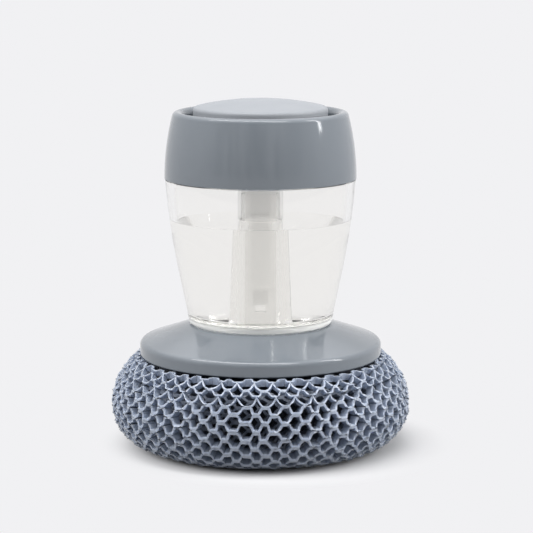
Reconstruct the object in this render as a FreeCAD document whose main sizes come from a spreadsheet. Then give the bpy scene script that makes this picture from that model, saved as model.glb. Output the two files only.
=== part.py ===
"""Palm scrubber for dishes, with a soap tank and a push-button pump.

A clear tank screws into a plate that carries a honeycomb scourer. A cap closes the tank. Its button
drives a piston down a column in the tank, and the piston presses soap through a valve into the scourer.
The frame stands on the scourer's flat foot: origin at the foot's centre, +Z up, millimetres.
"""
import FreeCAD, Part
import Sketcher
import math
import os
from types import SimpleNamespace

doc = FreeCAD.newDocument("PalmScrubber")

# Driving dimensions in millimetres, piece by piece
SIZES = {
    # scourer
    "scourer_radius": 47.4,
    "scourer_height": 28.9,
    "scourer_widest_height": 13.6,
    "scourer_foot_radius": 36.0,
    "scourer_neck_radius": 39.8,
    "scourer_lower_bend": 13.9,
    "scourer_upper_bend": 18.9,
    "cell_depth": 4.0,
    "cell_wall": 0.9,
    # plate that carries the scourer
    "plate_radius": 38.4,
    "plate_rim_height": 4.5,
    "plate_rise": 5.3,
    "plate_seat_radius": 22.9,
    "plate_wall": 2.0,
    "plate_edge_round": 1.8,
    "plate_foot_round": 0.6,
    "collar_wall": 2.0,
    "collar_depth": 6.7,
    "rib_width": 1.6,
    "boss_circle_radius": 25.0,
    "boss_radius": 3.2,
    # retainer under the plate, with its hoop and screws
    "retainer_thickness": 3.0,
    "soap_hole_radius": 7.0,
    "hoop_wire_radius": 1.0,
    "screw_head_radius": 2.4,
    "screw_head_height": 1.3,
    "screw_radius": 1.15,
    "screw_length": 7.0,
    # tank with its column and spigot
    "tank_foot_radius": 22.6,
    "tank_foot_round": 1.2,
    "tank_waist_radius": 25.9,
    "tank_waist_height": 16.0,
    "tank_shoulder_radius": 30.15,
    "tank_height": 46.1,
    "tank_outer_bend": 240.0,
    "tank_inner_bend": 155.0,
    "tank_wall": 1.9,
    "tank_floor": 2.0,
    "tank_floor_round": 2.0,
    "mouth_radius": 27.0,
    "neck_wall": 1.5,
    "neck_height": 5.0,
    "spigot_radius": 13.7,
    "spigot_wall": 2.0,
    "spigot_length": 6.0,
    "column_foot_radius": 7.8,
    "column_top_radius": 6.8,
    "column_neck_wall": 1.0,
    "column_neck_length": 8.5,
    "column_root_round": 1.2,
    "bore_radius": 5.0,
    "outlet_radius": 3.4,
    "port_width": 4.0,
    "port_height": 2.2,
    # valve in the spigot
    "valve_flange_radius": 7.0,
    "valve_flange_thickness": 1.2,
    "valve_neck_radius": 4.2,
    "valve_wall": 1.0,
    "valve_neck_length": 1.6,
    "valve_dome_height": 1.8,
    "valve_slit_width": 0.3,
    "valve_ring_thickness": 1.6,
    # seals
    "base_gasket_radius": 15.0,
    "base_gasket_width": 3.0,
    "base_gasket_sink": 0.8,
    "lid_gasket_thickness": 1.0,
    "sleeve_seal_thickness": 0.8,
    "wiper_thickness": 2.0,
    # cap with its lid and sleeve
    "cap_radius": 30.3,
    "cap_height": 21.0,
    "cap_bend": 79.0,
    "cap_wall": 1.5,
    "crown_radius": 26.2,
    "crown_bend": 1.6,
    "crown_side_inset": 1.55,
    "crown_side_drop": 1.2,
    "crown_thickness": 2.6,
    "well_radius": 24.3,
    "well_wall": 1.0,
    "well_depth": 5.7,
    "ledge_width": 1.4,
    "lid_thickness": 1.8,
    "plug_depth": 3.0,
    "plug_wall": 1.4,
    "sleeve_drop": 17.2,
    "sleeve_wall": 1.0,
    "sleeve_flange_radius": 9.2,
    "sleeve_flange_thickness": 1.2,
    "vent_circle_radius": 17.0,
    "vent_stem_radius": 1.4,
    "vent_head_radius": 3.4,
    "vent_head_height": 0.9,
    "vent_barb_radius": 1.9,
    "vent_barb_height": 1.0,
    # button with its stem, piston and spring
    "button_radius": 21.2,
    "button_proud": 1.3,
    "button_crown": 2.5,
    "button_wall": 1.7,
    "button_edge_round": 1.2,
    "button_flange_reach": 0.7,
    "button_flange_thickness": 1.5,
    "button_travel": 5.0,
    "button_boss_wall": 1.7,
    "stem_radius": 4.4,
    "stem_wall": 1.3,
    "stem_seat_depth": 5.0,
    "stem_floor": 2.0,
    "tip_radius": 2.4,
    "barb_radius": 3.2,
    "barb_height": 0.7,
    "piston_length": 4.2,
    "piston_lip": 0.8,
    "piston_waist": 0.8,
    "spring_radius": 7.7,
    "spring_wire_radius": 0.45,
    # clearances and the overrun of cuts
    "soft_clearance": 0.3,
    "thread_clearance": 0.3,
    "slide_clearance": 0.3,
    "seat_gap": 0.3,
    "fit_clearance": 0.05,
    "loose_clearance": 0.15,
    "piston_margin": 0.4,
    "cut_overrun": 1.0,
}
CELL_COUNT = 29
ROWS_BELOW = 3
ROWS_ABOVE = 4
LOWER_ROW_TURN = 14.0
UPPER_ROW_TURN = 10.3
CELL_WAIST_SHARE = 0.35
CELL_FLAT_SHARE = 0.15
CELL_FLOOR_SHARE = 0.7
SCREW_COUNT = 3
RIB_COUNT = 6
SPRING_TURNS = 5.5
SPRING_STEPS_PER_TURN = 4
MATCH_TOLERANCE = 1e-4

sheet = doc.addObject("Spreadsheet::Sheet", "Sizes")
for row, (name, value) in enumerate(SIZES.items(), start=1):
    sheet.set(f"A{row}", name)
    sheet.set(f"B{row}", str(value))
    sheet.setAlias(f"B{row}", name)
doc.recompute()


class Size:
    """A length kept both as a number and as the expression that binds it to the sheet."""

    def __init__(self, value, text):
        self.value = value
        self.text = text

    def _join(self, sign, other, value):
        text = other.text if isinstance(other, Size) else repr(other)
        return Size(value, f"({self.text} {sign} {text})")

    def __add__(self, other):
        return self._join("+", other, self.value + other.value)

    def __sub__(self, other):
        return self._join("-", other, self.value - other.value)

    def __mul__(self, other):
        return self._join("*", other, self.value * getattr(other, "value", other))

    def __truediv__(self, other):
        return self._join("/", other, self.value / getattr(other, "value", other))


dim = SimpleNamespace(**{name: Size(value, f"Sizes.{name}") for name, value in SIZES.items()})

# Heights above the surface that the scrubber stands on
at = SimpleNamespace()
at.plate_bottom = dim.scourer_height + dim.soft_clearance
at.plate_rim = at.plate_bottom + dim.plate_rim_height
at.plate_seat = at.plate_rim + dim.plate_rise
at.retainer_top = at.plate_bottom + dim.retainer_thickness
at.tank_bottom = at.plate_seat + dim.seat_gap
at.tank_floor = at.tank_bottom + dim.tank_floor
at.waist = at.tank_bottom + dim.tank_waist_height
at.shoulder = at.tank_bottom + dim.tank_height
at.spigot_bottom = at.tank_bottom - dim.spigot_length
at.valve_flange = at.tank_bottom - dim.valve_flange_thickness
at.tank_rim = at.shoulder + dim.neck_height
at.lid_bottom = at.tank_rim + dim.lid_gasket_thickness
at.lid_top = at.lid_bottom + dim.lid_thickness
at.sleeve_top = at.lid_top + dim.sleeve_flange_thickness
at.sleeve_bottom = at.lid_bottom - dim.sleeve_drop
at.column_step = at.sleeve_bottom - dim.sleeve_seal_thickness
at.column_top = at.column_step + dim.column_neck_length
at.cap_bottom = at.shoulder + dim.seat_gap
at.cap_top = at.cap_bottom + dim.cap_height
at.well_bottom = at.cap_top - dim.well_depth
at.flange_top = at.well_bottom - dim.slide_clearance
at.flange_bottom = at.flange_top - dim.button_flange_thickness
at.button_edge = at.cap_top + dim.button_proud
at.button_top = at.button_edge + dim.button_crown
at.boss_bottom = at.sleeve_top + dim.button_travel + dim.piston_margin
at.stem_top = at.boss_bottom + dim.stem_seat_depth
at.tip_bottom = at.tank_floor + dim.button_travel + dim.piston_margin
at.piston_bottom = at.tip_bottom + dim.barb_height
at.piston_top = at.piston_bottom + dim.piston_length

# Radii that follow from a neighbour and a clearance
span = SimpleNamespace()
span.collar_bore = dim.spigot_radius + dim.thread_clearance
span.collar = span.collar_bore + dim.collar_wall
span.rim_inner = dim.plate_radius - dim.plate_wall
span.retainer_lip = span.rim_inner - dim.loose_clearance
span.hoop = span.retainer_lip - dim.hoop_wire_radius
span.retainer = span.hoop - dim.hoop_wire_radius - dim.loose_clearance
span.gasket_outer = dim.base_gasket_radius + dim.base_gasket_width
span.spigot_inner = dim.spigot_radius - dim.spigot_wall
span.neck = dim.mouth_radius + dim.neck_wall
span.column_neck = dim.bore_radius + dim.column_neck_wall
span.cap_inner = span.neck + dim.thread_clearance
span.lid = span.cap_inner - dim.fit_clearance
span.plug = dim.mouth_radius - dim.slide_clearance
span.sleeve_inner = span.column_neck + dim.loose_clearance
span.sleeve = span.sleeve_inner + dim.sleeve_wall
span.stem_guide = dim.stem_radius + dim.loose_clearance
span.socket = dim.stem_radius + dim.fit_clearance
span.boss = span.socket + dim.button_boss_wall
span.button_inner = dim.button_radius - dim.button_wall
span.screw_pilot = dim.screw_radius + dim.fit_clearance


def on_line(start, end, distance, length):
    """The value between two others, where the distance along is known as part of a length."""
    return start + (end - start) * distance / length


def new_body(label):
    body = doc.addObject("PartDesign::Body", label)
    body.Label = label
    return body


def origin_feature(body, role):
    return next(feature for feature in body.Origin.OriginFeatures if feature.Role == role)


def new_sketch(body, name, role, height=None):
    """A sketch on one of the body's origin planes, raised along its normal if a height is given."""
    sketch = body.newObject("Sketcher::SketchObject", name)
    sketch.AttachmentSupport = [(origin_feature(body, role), "")]
    sketch.MapMode = "FlatFace"
    if height is not None:
        sketch.setExpression("AttachmentOffset.Base.z", height.text)
    return sketch


def bind(sketch, name, constraint, size):
    """Add a dimension to a sketch, name it and tie it to the sheet."""
    index = sketch.addConstraint(constraint)
    sketch.renameConstraint(index, name)
    sketch.setExpression(f"Constraints.{name}", size.text)


def arc_between(start, end, bend):
    """An arc of the given radius, and whether it runs from start to end. A negative bend turns right."""
    chord = end - start
    reach = math.sqrt(max(bend ** 2 - (chord.Length / 2) ** 2, 0))
    normal = FreeCAD.Vector(-chord.y, chord.x, 0).normalize()
    centre = (start + end) / 2 + normal * math.copysign(reach, bend)
    first, last = (start, end) if bend > 0 else (end, start)
    angles = [math.atan2(point.y - centre.y, point.x - centre.x) for point in (first, last)]
    if angles[1] < angles[0]:
        angles[1] += 2 * math.pi
    circle = Part.Circle(centre, FreeCAD.Vector(0, 0, 1), abs(bend))
    return Part.ArcOfCircle(circle, angles[0], angles[1]), bend > 0


def outline(sketch, corners):
    """Draw a closed outline through corners (across, up), each tied to the sheet.

    None stands for the axis. A third entry makes an arc of that radius towards the corner, and a fourth
    entry of -1 makes it turn right instead of left.
    """
    points = [FreeCAD.Vector(c[0].value if c[0] else 0, c[1].value if c[1] else 0, 0) for c in corners]
    ends = []
    for index, corner in enumerate(corners):
        start, end = points[index - 1], points[index]
        if len(corner) > 2:
            side = corner[3] if len(corner) > 3 else 1
            arc, forward = arc_between(start, end, corner[2].value * side)
            edge = sketch.addGeometry(arc, False)
            ends.append((edge, 1, 2) if forward else (edge, 2, 1))
        else:
            edge = sketch.addGeometry(Part.LineSegment(start, end), False)
            ends.append((edge, 1, 2))
    for index, corner in enumerate(corners):
        edge, _, tail = ends[index]
        next_edge, head, _ = ends[(index + 1) % len(corners)]
        sketch.addConstraint(Sketcher.Constraint("Coincident", edge, tail, next_edge, head))
    for index, corner in enumerate(corners):
        edge, _, tail = ends[index]
        if corner[0]:
            across = Sketcher.Constraint("DistanceX", -1, 1, edge, tail, corner[0].value)
            bind(sketch, f"across_{index}", across, corner[0])
        else:
            sketch.addConstraint(Sketcher.Constraint("PointOnObject", edge, tail, -2))
        if corner[1]:
            up = Sketcher.Constraint("DistanceY", -1, 1, edge, tail, corner[1].value)
            bind(sketch, f"up_{index}", up, corner[1])
        else:
            sketch.addConstraint(Sketcher.Constraint("PointOnObject", edge, tail, -1))
        if len(corner) > 2:
            bind(sketch, f"bend_{index}", Sketcher.Constraint("Radius", edge, corner[2].value), corner[2])


def revolve(body, name, corners):
    """Turn a half-section in the XZ plane about the Z axis."""
    sketch = new_sketch(body, f"{name}_section", "XZ_Plane")
    outline(sketch, corners)
    feature = body.newObject("PartDesign::Revolution", name)
    feature.Profile = sketch
    feature.ReferenceAxis = (sketch, ["V_Axis"])
    feature.Angle = 360
    doc.recompute()
    return feature


def circle_sketch(body, name, height, away, radius):
    """One circle on a level plane, its centre away from the axis along +Y."""
    sketch = new_sketch(body, name, "XY_Plane", height)
    centre = FreeCAD.Vector(0, away.value, 0)
    edge = sketch.addGeometry(Part.Circle(centre, FreeCAD.Vector(0, 0, 1), radius.value), False)
    sketch.addConstraint(Sketcher.Constraint("PointOnObject", edge, 3, -2))
    bind(sketch, "away", Sketcher.Constraint("DistanceY", -1, 1, edge, 3, away.value), away)
    bind(sketch, "radius", Sketcher.Constraint("Radius", edge, radius.value), radius)
    return sketch


def block_sketch(body, name, role, half_width, low, high):
    """A rectangle centred across the axis between two heights of the plane."""
    sketch = new_sketch(body, name, role)
    left, right = -half_width.value, half_width.value
    bottom, top = low.value, high.value
    points = [(left, bottom), (right, bottom), (right, top), (left, top)]
    corners = [FreeCAD.Vector(x, y, 0) for x, y in points]
    edges = [sketch.addGeometry(Part.LineSegment(corners[i], corners[(i + 1) % 4]), False) for i in range(4)]
    for i in range(4):
        sketch.addConstraint(Sketcher.Constraint("Coincident", edges[i], 2, edges[(i + 1) % 4], 1))
    for i, way in ((1, "Vertical"), (2, "Horizontal"), (3, "Vertical")):
        sketch.addConstraint(Sketcher.Constraint(way, edges[i]))
    sketch.addConstraint(Sketcher.Constraint("Symmetric", edges[0], 1, edges[0], 2, -2))
    width = half_width + half_width
    bind(sketch, "width", Sketcher.Constraint("DistanceX", edges[0], 1, edges[0], 2, width.value), width)
    bind(sketch, "low", Sketcher.Constraint("DistanceY", -1, 1, edges[0], 1, low.value), low)
    bind(sketch, "high", Sketcher.Constraint("DistanceY", -1, 1, edges[2], 1, high.value), high)
    return sketch


def extrude(body, kind, name, sketch, length, reverse=False, both_ways=False):
    """A pad or a pocket from a sketch. It must change the body's volume."""
    before = body.Shape.Volume
    feature = body.newObject(f"PartDesign::{kind}", name)
    feature.Profile = sketch
    feature.setExpression("Length", length.text)
    feature.Reversed = reverse
    if both_ways:
        feature.SideType = "Symmetric"
    doc.recompute()
    if abs(body.Shape.Volume - before) < 1e-6:
        raise RuntimeError(f"{name} changes nothing")
    return feature


def repeat_round(body, name, features, count):
    """Copies of features, evenly round the Z axis."""
    pattern = body.newObject("PartDesign::PolarPattern", name)
    pattern.Originals = features
    pattern.Axis = (origin_feature(body, "Z_Axis"), [""])
    pattern.Angle = 360
    pattern.Occurrences = count
    body.Tip = pattern
    doc.recompute()
    return pattern


def round_rings(body, name, radius, rings):
    """Round off the body's circular edges that have the given (radius, height)."""
    names = []
    for ring, height in rings:
        for index, edge in enumerate(body.Tip.Shape.Edges, start=1):
            if edge.Degenerated or not isinstance(edge.Curve, Part.Circle):
                continue
            miss = abs(edge.Curve.Radius - ring.value) + abs(edge.Curve.Center.z - height.value)
            if miss < MATCH_TOLERANCE:
                names.append(f"Edge{index}")
    feature = body.newObject("PartDesign::Fillet", name)
    feature.Base = (body.Tip if body.Tip != feature else feature.BaseFeature, names)
    feature.setExpression("Radius", radius.text)
    doc.recompute()
    return feature


def flat_ring(label, inner, outer, low, high):
    """A body that is a plain ring of rectangular section."""
    body = new_body(label)
    revolve(body, f"{label}_ring", [(inner, low), (outer, low), (outer, high), (inner, high)])
    return body


def net_cell(row):
    """One six-sided cell of the net, tapering inwards, square to the ball's side.

    Rows count up from the widest place, and every second row is set over by half a cell.
    """
    upper = row >= 0
    bend = dim.scourer_upper_bend.value if upper else dim.scourer_lower_bend.value
    turn = math.radians(UPPER_ROW_TURN if upper else LOWER_ROW_TURN)
    lean = row * turn
    outward = FreeCAD.Vector(math.cos(lean), 0, math.sin(lean))
    upward = FreeCAD.Vector(-math.sin(lean), 0, math.cos(lean))
    sideways = FreeCAD.Vector(0, 1, 0)
    centre = FreeCAD.Vector(dim.scourer_radius.value - bend, 0, dim.scourer_widest_height.value)
    surface = centre + outward * bend
    half_wall = dim.cell_wall.value / 2
    pitch = 2 * math.pi * surface.x / CELL_COUNT
    waist = pitch * CELL_WAIST_SHARE - half_wall
    flat = pitch * CELL_FLAT_SHARE - half_wall
    reach = bend * turn - half_wall
    overrun, depth = dim.cut_overrun.value, dim.cell_depth.value
    corners = [(waist, 0), (flat, reach), (-flat, reach), (-waist, 0), (-flat, -reach), (flat, -reach)]

    def ring(out, size):
        return [surface + outward * out + (sideways * x + upward * y) * size for x, y in corners]

    def flat_face(points):
        return Part.Face(Part.makePolygon(points + points[:1]))

    mouth = ring(overrun, 1 + (1 - CELL_FLOOR_SHARE) * overrun / depth)
    floor = ring(-depth, CELL_FLOOR_SHARE)
    sides = [flat_face([mouth[i - 1], mouth[i], floor[i], floor[i - 1]]) for i in range(len(corners))]
    cell = Part.Solid(Part.Shell([flat_face(mouth), flat_face(floor)] + sides))
    stagger = 180 / CELL_COUNT * (row % 2)
    cell.rotate(FreeCAD.Vector(), FreeCAD.Vector(0, 0, 1), stagger)
    return cell


def make_scourer():
    body = new_body("net_ball")
    revolve(body, "ball", [
        (None, None),
        (dim.scourer_foot_radius, None),
        (dim.scourer_radius, dim.scourer_widest_height, dim.scourer_lower_bend),
        (dim.scourer_neck_radius, dim.scourer_height, dim.scourer_upper_bend),
        (None, dim.scourer_height),
    ])
    cells = []
    for row in range(-ROWS_BELOW, ROWS_ABOVE + 1):
        cell = net_cell(row)
        for index in range(CELL_COUNT):
            copy = cell.copy()
            copy.rotate(FreeCAD.Vector(), FreeCAD.Vector(0, 0, 1), 360 * index / CELL_COUNT)
            cells.append(copy)
    net = doc.addObject("Part::Feature", "net_cells")
    net.Shape = Part.makeCompound(cells)
    scourer = doc.addObject("Part::Cut", "scourer")
    scourer.Label = "scourer"
    scourer.Base = body
    scourer.Tool = net
    doc.recompute()
    return scourer


def plate_under(radius):
    """Height of the plate's underside at a radius: the cone of its top, one wall lower."""
    run = dim.plate_radius - dim.plate_seat_radius
    return on_line(at.plate_rim, at.plate_seat, dim.plate_radius - radius, run) - dim.plate_wall


def hoop_height():
    """Height of the hoop's middle: it lies close under the plate, over the edge of the retainer."""
    return plate_under(span.retainer_lip) - dim.hoop_wire_radius - dim.loose_clearance


def make_base_plate():
    body = new_body("base_plate")
    groove_inner = dim.base_gasket_radius - dim.loose_clearance
    groove_outer = span.gasket_outer + dim.loose_clearance
    groove_floor = at.plate_seat - dim.base_gasket_sink
    collar_bottom = at.plate_seat - dim.collar_depth
    seat_under = at.plate_seat - dim.plate_wall
    revolve(body, "shell", [
        (span.collar_bore, collar_bottom),
        (span.collar, collar_bottom),
        (span.collar, seat_under),
        (dim.plate_seat_radius, seat_under),
        (span.rim_inner, plate_under(span.rim_inner)),
        (span.rim_inner, at.plate_bottom),
        (dim.plate_radius, at.plate_bottom),
        (dim.plate_radius, at.plate_rim),
        (dim.plate_seat_radius, at.plate_seat),
        (groove_outer, at.plate_seat),
        (groove_outer, groove_floor),
        (groove_inner, groove_floor),
        (groove_inner, at.plate_seat),
        (span.collar_bore, at.plate_seat),
    ])
    round_rings(body, "rim_round", dim.plate_edge_round, [(dim.plate_radius, at.plate_rim)])
    round_rings(body, "foot_round", dim.plate_foot_round, [(dim.plate_radius, at.plate_bottom)])

    half_wall = dim.plate_wall / 2
    rib_inner = span.collar - dim.collar_wall / 2
    rib_outer = span.retainer - dim.hoop_wire_radius
    rib_bottom = at.retainer_top + dim.loose_clearance
    rib_sketch = new_sketch(body, "rib_section", "XZ_Plane")
    outline(rib_sketch, [
        (rib_inner, rib_bottom),
        (rib_outer, rib_bottom),
        (rib_outer, plate_under(rib_outer) + half_wall),
        (dim.plate_seat_radius, seat_under + half_wall),
        (rib_inner, seat_under + half_wall),
    ])
    rib = extrude(body, "Pad", "rib", rib_sketch, dim.rib_width, both_ways=True)
    repeat_round(body, "ribs", [rib], RIB_COUNT)

    boss_outer = dim.boss_circle_radius + dim.boss_radius
    boss_sketch = circle_sketch(body, "boss_circle", at.retainer_top, dim.boss_circle_radius, dim.boss_radius)
    boss_height = plate_under(boss_outer) + half_wall - at.retainer_top
    boss = extrude(body, "Pad", "boss", boss_sketch, boss_height)
    pilot_sketch = circle_sketch(
        body, "pilot_circle", at.retainer_top, dim.boss_circle_radius, span.screw_pilot)
    screw_reach = dim.screw_length - dim.retainer_thickness + dim.screw_head_height
    pilot = extrude(body, "Pocket", "pilot", pilot_sketch, screw_reach + dim.slide_clearance, reverse=True)
    repeat_round(body, "bosses", [boss, pilot], SCREW_COUNT)
    return body


def make_net_retainer():
    body = new_body("net_retainer")
    lip_top = hoop_height() - dim.hoop_wire_radius - dim.fit_clearance
    revolve(body, "disc", [
        (dim.soap_hole_radius, at.plate_bottom),
        (span.retainer_lip, at.plate_bottom),
        (span.retainer_lip, lip_top),
        (span.retainer, lip_top),
        (span.retainer, at.retainer_top),
        (dim.soap_hole_radius, at.retainer_top),
    ])
    sink_sketch = circle_sketch(
        body, "sink_circle", at.plate_bottom, dim.boss_circle_radius,
        dim.screw_head_radius + dim.loose_clearance)
    sink = extrude(body, "Pocket", "screw_sink", sink_sketch, dim.screw_head_height, reverse=True)
    hole_sketch = circle_sketch(
        body, "hole_circle", at.plate_bottom, dim.boss_circle_radius, span.screw_pilot)
    hole = extrude(body, "Pocket", "screw_hole", hole_sketch, dim.retainer_thickness, reverse=True)
    repeat_round(body, "screw_places", [sink, hole], SCREW_COUNT)
    return body


def make_net_hoop():
    hoop = doc.addObject("Part::Torus", "net_hoop")
    hoop.Label = "net_hoop"
    hoop.setExpression("Radius1", span.hoop.text)
    hoop.setExpression("Radius2", dim.hoop_wire_radius.text)
    hoop.setExpression("Placement.Base.z", hoop_height().text)
    doc.recompute()
    return hoop


def make_retainer_screws():
    """Pan-head screws, each a head and a shank, kept together as one set."""
    screws = []
    for index in range(SCREW_COUNT):
        angle = math.radians(90 + 360 * index / SCREW_COUNT)
        head = doc.addObject("Part::Cylinder", f"screw_head_{index}")
        head.setExpression("Radius", dim.screw_head_radius.text)
        head.setExpression("Height", dim.screw_head_height.text)
        shank = doc.addObject("Part::Cylinder", f"screw_shank_{index}")
        shank.setExpression("Radius", dim.screw_radius.text)
        shank.setExpression("Height", (dim.screw_length + dim.screw_head_height).text)
        for piece in (head, shank):
            piece.setExpression("Placement.Base.x", (dim.boss_circle_radius * math.cos(angle)).text)
            piece.setExpression("Placement.Base.y", (dim.boss_circle_radius * math.sin(angle)).text)
            piece.setExpression("Placement.Base.z", at.plate_bottom.text)
        screw = doc.addObject("Part::Fuse", f"screw_{index}")
        screw.Base = head
        screw.Tool = shank
        screws.append(screw)
    group = doc.addObject("Part::Compound", "retainer_screws")
    group.Label = "retainer_screws"
    group.Links = screws
    doc.recompute()
    return group


def make_tank():
    body = new_body("tank")
    waist_inner = dim.tank_waist_radius - dim.tank_wall
    foot_inner = on_line(
        dim.tank_foot_radius - dim.tank_wall, waist_inner, dim.tank_floor, dim.tank_waist_height)
    revolve(body, "vessel", [
        (dim.outlet_radius, at.tank_bottom),
        (span.spigot_inner, at.tank_bottom),
        (span.spigot_inner, at.spigot_bottom),
        (dim.spigot_radius, at.spigot_bottom),
        (dim.spigot_radius, at.tank_bottom),
        (dim.tank_foot_radius, at.tank_bottom),
        (dim.tank_waist_radius, at.waist),
        (dim.tank_shoulder_radius, at.shoulder, dim.tank_outer_bend),
        (span.neck, at.shoulder),
        (span.neck, at.tank_rim),
        (dim.mouth_radius, at.tank_rim),
        (dim.mouth_radius, at.shoulder),
        (waist_inner, at.waist, dim.tank_inner_bend, -1),
        (foot_inner, at.tank_floor),
        (dim.column_foot_radius, at.tank_floor),
        (dim.column_top_radius, at.column_step),
        (span.column_neck, at.column_step),
        (span.column_neck, at.column_top),
        (dim.bore_radius, at.column_top),
        (dim.bore_radius, at.tank_floor),
        (dim.outlet_radius, at.tank_floor),
    ])
    round_rings(body, "foot_round", dim.tank_foot_round, [(dim.tank_foot_radius, at.tank_bottom)])
    round_rings(body, "floor_round", dim.tank_floor_round, [(foot_inner, at.tank_floor)])
    round_rings(body, "column_root", dim.column_root_round, [(dim.column_foot_radius, at.tank_floor)])
    port_top = at.tip_bottom - dim.slide_clearance
    port_sketch = block_sketch(
        body, "port_block", "XZ_Plane", dim.port_width / 2, port_top - dim.port_height, port_top)
    extrude(body, "Pocket", "inlet_port", port_sketch, dim.column_foot_radius + dim.cut_overrun)
    return body


def make_outlet_valve():
    body = new_body("outlet_valve")
    bore = dim.valve_neck_radius - dim.valve_wall
    dome_start = at.valve_flange - dim.valve_neck_length
    dome_end = dome_start - dim.valve_dome_height

    def dome_bend(radius):
        return (radius * radius + dim.valve_dome_height * dim.valve_dome_height) / dim.valve_dome_height / 2

    revolve(body, "cup", [
        (bore, at.tank_bottom),
        (bore, dome_start),
        (None, dome_end + dim.valve_wall, dome_bend(bore), -1),
        (None, dome_end),
        (dim.valve_neck_radius, dome_start, dome_bend(dim.valve_neck_radius)),
        (dim.valve_neck_radius, at.valve_flange),
        (dim.valve_flange_radius, at.valve_flange),
        (dim.valve_flange_radius, at.tank_bottom),
    ])
    slit_sketch = block_sketch(
        body, "slit_block", "XZ_Plane", bore / 2, dome_end - dim.cut_overrun, dome_start)
    extrude(body, "Pocket", "slit", slit_sketch, dim.valve_slit_width, both_ways=True)
    return body


def make_valve_ring():
    return flat_ring(
        "valve_ring",
        dim.valve_neck_radius + dim.loose_clearance,
        span.spigot_inner - dim.fit_clearance,
        at.valve_flange - dim.valve_ring_thickness,
        at.valve_flange,
    )


def make_base_gasket():
    floor = at.plate_seat - dim.base_gasket_sink
    return flat_ring("base_gasket", dim.base_gasket_radius, span.gasket_outer, floor, at.tank_bottom)


def make_lid_gasket():
    return flat_ring("lid_gasket", dim.mouth_radius, span.neck, at.tank_rim, at.lid_bottom)


def make_sleeve_seal():
    return flat_ring("sleeve_seal", span.sleeve_inner, span.sleeve, at.column_step, at.sleeve_bottom)


def make_cap_shell():
    body = new_body("cap_shell")
    crown_side = dim.crown_radius + dim.crown_side_inset
    well_outer = dim.well_radius + dim.well_wall
    lip_bend = dim.crown_radius - dim.well_radius
    revolve(body, "shell", [
        (span.cap_inner, at.cap_bottom),
        (dim.cap_radius, at.cap_bottom),
        (crown_side, at.cap_top - dim.crown_side_drop, dim.cap_bend),
        (dim.crown_radius, at.cap_top, dim.crown_bend),
        (dim.well_radius, at.cap_top - lip_bend, lip_bend),
        (dim.well_radius, at.well_bottom),
        (well_outer, at.well_bottom),
        (well_outer, at.cap_top - dim.crown_thickness),
        (crown_side - dim.cap_wall, at.cap_top - dim.crown_thickness),
        (span.cap_inner - dim.ledge_width, at.lid_top),
        (span.cap_inner, at.lid_top),
    ])
    return body


def make_inner_lid():
    body = new_body("inner_lid")
    hole = span.sleeve + dim.fit_clearance
    plug_inner = span.plug - dim.plug_wall
    plug_bottom = at.lid_bottom - dim.plug_depth
    revolve(body, "disc", [
        (hole, at.lid_bottom),
        (plug_inner, at.lid_bottom),
        (plug_inner, plug_bottom),
        (span.plug, plug_bottom),
        (span.plug, at.lid_bottom),
        (span.lid, at.lid_bottom),
        (span.lid, at.lid_top),
        (hole, at.lid_top),
    ])
    vent_sketch = circle_sketch(
        body, "vent_circle", at.lid_bottom, dim.vent_circle_radius,
        dim.vent_stem_radius + dim.loose_clearance)
    extrude(body, "Pocket", "vent_hole", vent_sketch, dim.lid_thickness, reverse=True)
    return body


def make_guide_sleeve():
    body = new_body("guide_sleeve")
    revolve(body, "tube", [
        (span.sleeve_inner, at.sleeve_bottom),
        (span.sleeve, at.sleeve_bottom),
        (span.sleeve, at.lid_top),
        (dim.sleeve_flange_radius, at.lid_top),
        (dim.sleeve_flange_radius, at.sleeve_top),
        (span.stem_guide, at.sleeve_top),
        (span.stem_guide, at.lid_bottom),
        (span.sleeve_inner, at.lid_bottom),
    ])
    return body


def make_stem_wiper():
    return flat_ring(
        "stem_wiper",
        span.socket,
        span.sleeve_inner - dim.fit_clearance,
        at.lid_bottom - dim.wiper_thickness,
        at.lid_bottom,
    )


def make_vent_valve():
    """A mushroom valve: its head hangs under the lid, its barb holds above."""
    body = new_body("vent_valve")
    rim = at.lid_bottom - dim.vent_head_height / 2
    revolve(body, "mushroom", [
        (None, at.lid_bottom - dim.vent_head_height),
        (dim.vent_head_radius, rim),
        (dim.vent_head_radius, at.lid_bottom),
        (dim.vent_stem_radius, at.lid_bottom),
        (dim.vent_stem_radius, at.lid_top),
        (dim.vent_barb_radius, at.lid_top),
        (dim.vent_stem_radius, at.lid_top + dim.vent_barb_height),
        (None, at.lid_top + dim.vent_barb_height),
    ])
    body.setExpression("Placement.Base.y", dim.vent_circle_radius.text)
    doc.recompute()
    return body


def button_under(radius):
    """Height of the button's underside at a radius, one wall below its shallow dome."""
    drop = dim.button_crown * radius * radius / dim.button_radius / dim.button_radius
    return at.button_top - dim.button_wall - drop


def make_button():
    body = new_body("button")
    dome_bend = (dim.button_radius * dim.button_radius + dim.button_crown * dim.button_crown) \
        / dim.button_crown / 2
    flange = dim.well_radius + dim.button_flange_reach
    revolve(body, "dome", [
        (None, at.stem_top),
        (span.socket, at.stem_top),
        (span.socket, at.boss_bottom),
        (span.boss, at.boss_bottom),
        (span.boss, button_under(span.boss)),
        (span.button_inner, button_under(span.button_inner)),
        (span.button_inner, at.flange_bottom),
        (flange, at.flange_bottom),
        (flange, at.flange_top),
        (dim.button_radius, at.flange_top),
        (dim.button_radius, at.button_edge),
        (None, at.button_top, dome_bend),
    ])
    round_rings(body, "edge_round", dim.button_edge_round, [(dim.button_radius, at.button_edge)])
    return body


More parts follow.
